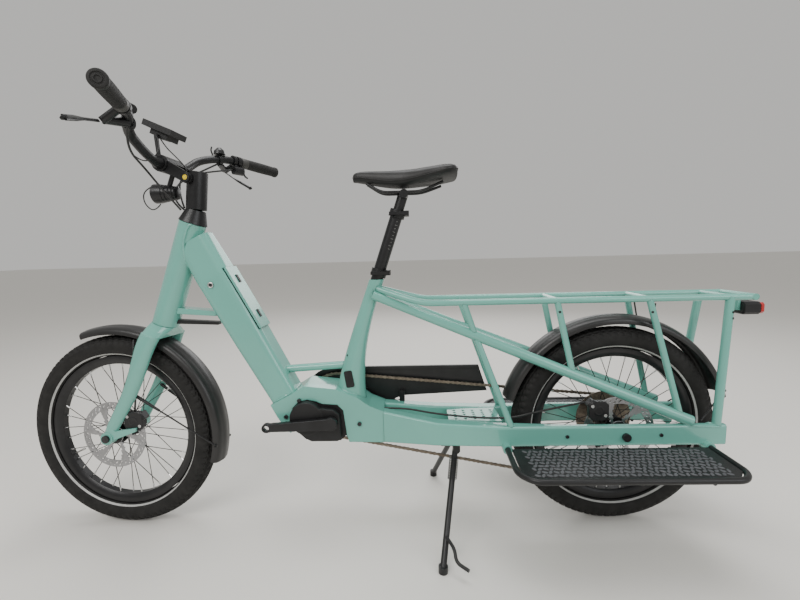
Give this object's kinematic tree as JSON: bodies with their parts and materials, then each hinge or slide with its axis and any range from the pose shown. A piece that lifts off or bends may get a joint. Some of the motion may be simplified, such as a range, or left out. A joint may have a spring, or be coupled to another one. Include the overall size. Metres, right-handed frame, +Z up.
{
  "type": "cargo bicycle",
  "caption": "Long-tail electric cargo bicycle with a low frame, mid motor, rear rack, running boards, fenders and a two-legged stand.",
  "frame": {"origin": "ground point midway between the foremost and rearmost points of the bicycle, in its middle plane", "axes": "+Z up; -X forward and +X rearward along the bicycle; -Y the rider's left and +Y the rider's right (drive) side"},
  "size_m": [1.9522, 0.7397, 1.0803],
  "materials": {
    "frame_paint": "gloss clear coat over pale blue-green",
    "black_paint": "satin powder coat",
    "black_alloy": "satin black anodised",
    "raw_steel": "ground and turned steel",
    "chain_steel": "oiled brown steel",
    "black_plastic": "fine moulded grain",
    "cell_pack": "smooth moulded case",
    "tyre": "matte with a fine grain",
    "grip_rubber": "moulded, matte",
    "saddle_cover": "fine-grained synthetic cover",
    "lamp_plastic": "gloss housings with clear or red lens",
    "hose": "smooth black hose",
    "spoke_steel": "black coated"
  },
  "bodies": {
    "frame": {"head_tube": "frame_paint", "down_tube": "frame_paint", "battery": "cell_pack", "motor_shell": "frame_paint", "motor_unit": "black_plastic", "motor_covers": "black_plastic", "seat_tube": "frame_paint", "brace_tubes": "frame_paint", "chain_stays": "frame_paint", "rear_axle": "raw_steel", "upper_stays": "frame_paint", "rack_rails": "frame_paint", "rack_posts": "frame_paint", "headset_bearings": "raw_steel", "frame_fittings": "black_paint", "chain": "chain_steel", "derailleur": "black_alloy", "chainguard": "black_paint", "rear_caliper": "black_alloy", "rear_brake_hose": "hose", "rear_fender": "black_plastic", "rear_light": "lamp_plastic", "board_tubes": "black_paint", "board_decks": "black_plastic", "kickstand_bracket": "black_paint"},
    "battery_cover": {"battery_cover": "frame_paint"},
    "steering": {"fork": "frame_paint", "front_axle": "raw_steel", "front_caliper": "black_alloy", "front_fender": "black_plastic", "stem_mast": "black_alloy"},
    "handlebar": {"handlebar": "black_alloy", "stem_arm": "black_alloy", "headlight": "lamp_plastic", "grips": "grip_rubber", "control_clamps": "black_alloy", "display": "black_plastic", "bell": "black_alloy", "control_hoses": "hose"},
    "left_brake_blade": {"left_brake_blade": "black_alloy"},
    "right_brake_blade": {"right_brake_blade": "black_alloy"},
    "shift_paddle": {"shift_paddle": "black_alloy"},
    "bell_striker": {"bell_striker": "black_alloy"},
    "front_wheel": {"front_tyre": "tyre", "front_rim": "black_alloy", "front_spokes": "spoke_steel", "front_hub": "black_alloy"},
    "rear_wheel": {"rear_tyre": "tyre", "rear_rim": "black_alloy", "rear_spokes": "spoke_steel", "rear_hub": "black_alloy"},
    "crank": {"crank_arms": "black_alloy", "chainring": "black_alloy"},
    "cassette": {"cassette": "chain_steel"},
    "lower_seat_lever": {"lower_seat_lever": "black_alloy"},
    "outer_post": {"outer_post": "black_alloy"},
    "upper_seat_lever": {"upper_seat_lever": "black_alloy"},
    "inner_post": {"inner_post": "black_alloy", "saddle": "saddle_cover"},
    "kickstand": {"kickstand": "black_paint"}
  },
  "joints": [
    {"name": "battery_cover_lift", "type": "slide", "parent": "frame", "child": "battery_cover", "axis": [0.8849, 0, 0.4657], "range_m": [0, 0.06]},
    {"name": "steering_turn", "type": "hinge", "parent": "frame", "child": "steering", "pos_m": [-0.68193, 0, 0.25305], "axis": [0.342, 0, 0.9397], "range_deg": [-55.5, 64.5]},
    {"name": "stem_tilt", "type": "hinge", "parent": "steering", "child": "handlebar", "pos_m": [-0.46392, 0.0021, 0.92997], "axis": [0.0737, 0.9969, -0.0268], "range_deg": [-15, 35], "deforming": ["control_hoses"]},
    {"name": "left_brake_pull", "type": "hinge", "parent": "handlebar", "child": "left_brake_blade", "pos_m": [-0.52284, -0.22413, 1.00913], "axis": [-0.4386, -0.2908, 0.8503], "range_deg": [0, 20], "stiffness_Nm_per_rad": 1, "springref_deg": -5.73},
    {"name": "right_brake_pull", "type": "hinge", "parent": "handlebar", "child": "right_brake_blade", "pos_m": [-0.48863, 0.23844, 0.99668], "axis": [0.3877, -0.3972, -0.8318], "range_deg": [0, 20], "stiffness_Nm_per_rad": 1, "springref_deg": -5.73},
    {"name": "shift_push", "type": "hinge", "parent": "handlebar", "child": "shift_paddle", "pos_m": [-0.4302, 0.242, 0.99152], "axis": [0.001, 0.0268, 0.9996], "range_deg": [0, 20], "stiffness_Nm_per_rad": 0.1, "springref_deg": -2.86},
    {"name": "bell_strike", "type": "hinge", "parent": "handlebar", "child": "bell_striker", "pos_m": [-0.49537, 0.18173, 1.03292], "axis": [-0.0737, -0.9969, 0.0268], "range_deg": [0, 22], "stiffness_Nm_per_rad": 0.05, "springref_deg": -2.86},
    {"name": "front_wheel_spin", "type": "hinge", "parent": "steering", "child": "front_wheel", "pos_m": [-0.71191, 0.00251, 0.26397], "axis": [0.0737, 0.9969, -0.0268], "continuous": true},
    {"name": "rear_wheel_spin", "type": "hinge", "parent": "frame", "child": "rear_wheel", "pos_m": [0.614, 0, 0.264], "axis": [0, 1, 0], "continuous": true},
    {"name": "crank_turn", "type": "hinge", "parent": "frame", "child": "crank", "pos_m": [-0.123, 0, 0.304], "axis": [0, 1, 0], "continuous": true},
    {"name": "cassette_turn", "type": "hinge", "parent": "frame", "child": "cassette", "pos_m": [0.614, 0, 0.264], "axis": [0, 1, 0], "continuous": true},
    {"name": "lower_lever_swing", "type": "hinge", "parent": "frame", "child": "lower_seat_lever", "pos_m": [0.02996, -0.0163, 0.681], "axis": [0, 0, 1], "range_deg": [0, 90]},
    {"name": "seat_height", "type": "slide", "parent": "frame", "child": "outer_post", "axis": [0.3256, 0, 0.9455], "range_m": [-0.045, 0.1]},
    {"name": "upper_lever_swing", "type": "hinge", "parent": "outer_post", "child": "upper_seat_lever", "pos_m": [0.08126, -0.0163, 0.83], "axis": [0, 0, 1], "range_deg": [0, 90]},
    {"name": "saddle_height", "type": "slide", "parent": "outer_post", "child": "inner_post", "axis": [0.3256, 0, 0.9455], "range_m": [-0.02, 0.08]},
    {"name": "kickstand_fold", "type": "hinge", "parent": "frame", "child": "kickstand", "pos_m": [0.198, 0, 0.218], "axis": [0, -1, 0], "range_deg": [0, 85]}
  ],
  "couplings": [
    {"joint": "cassette_turn", "follows": "crank_turn", "ratio": 1.5333}
  ]
}
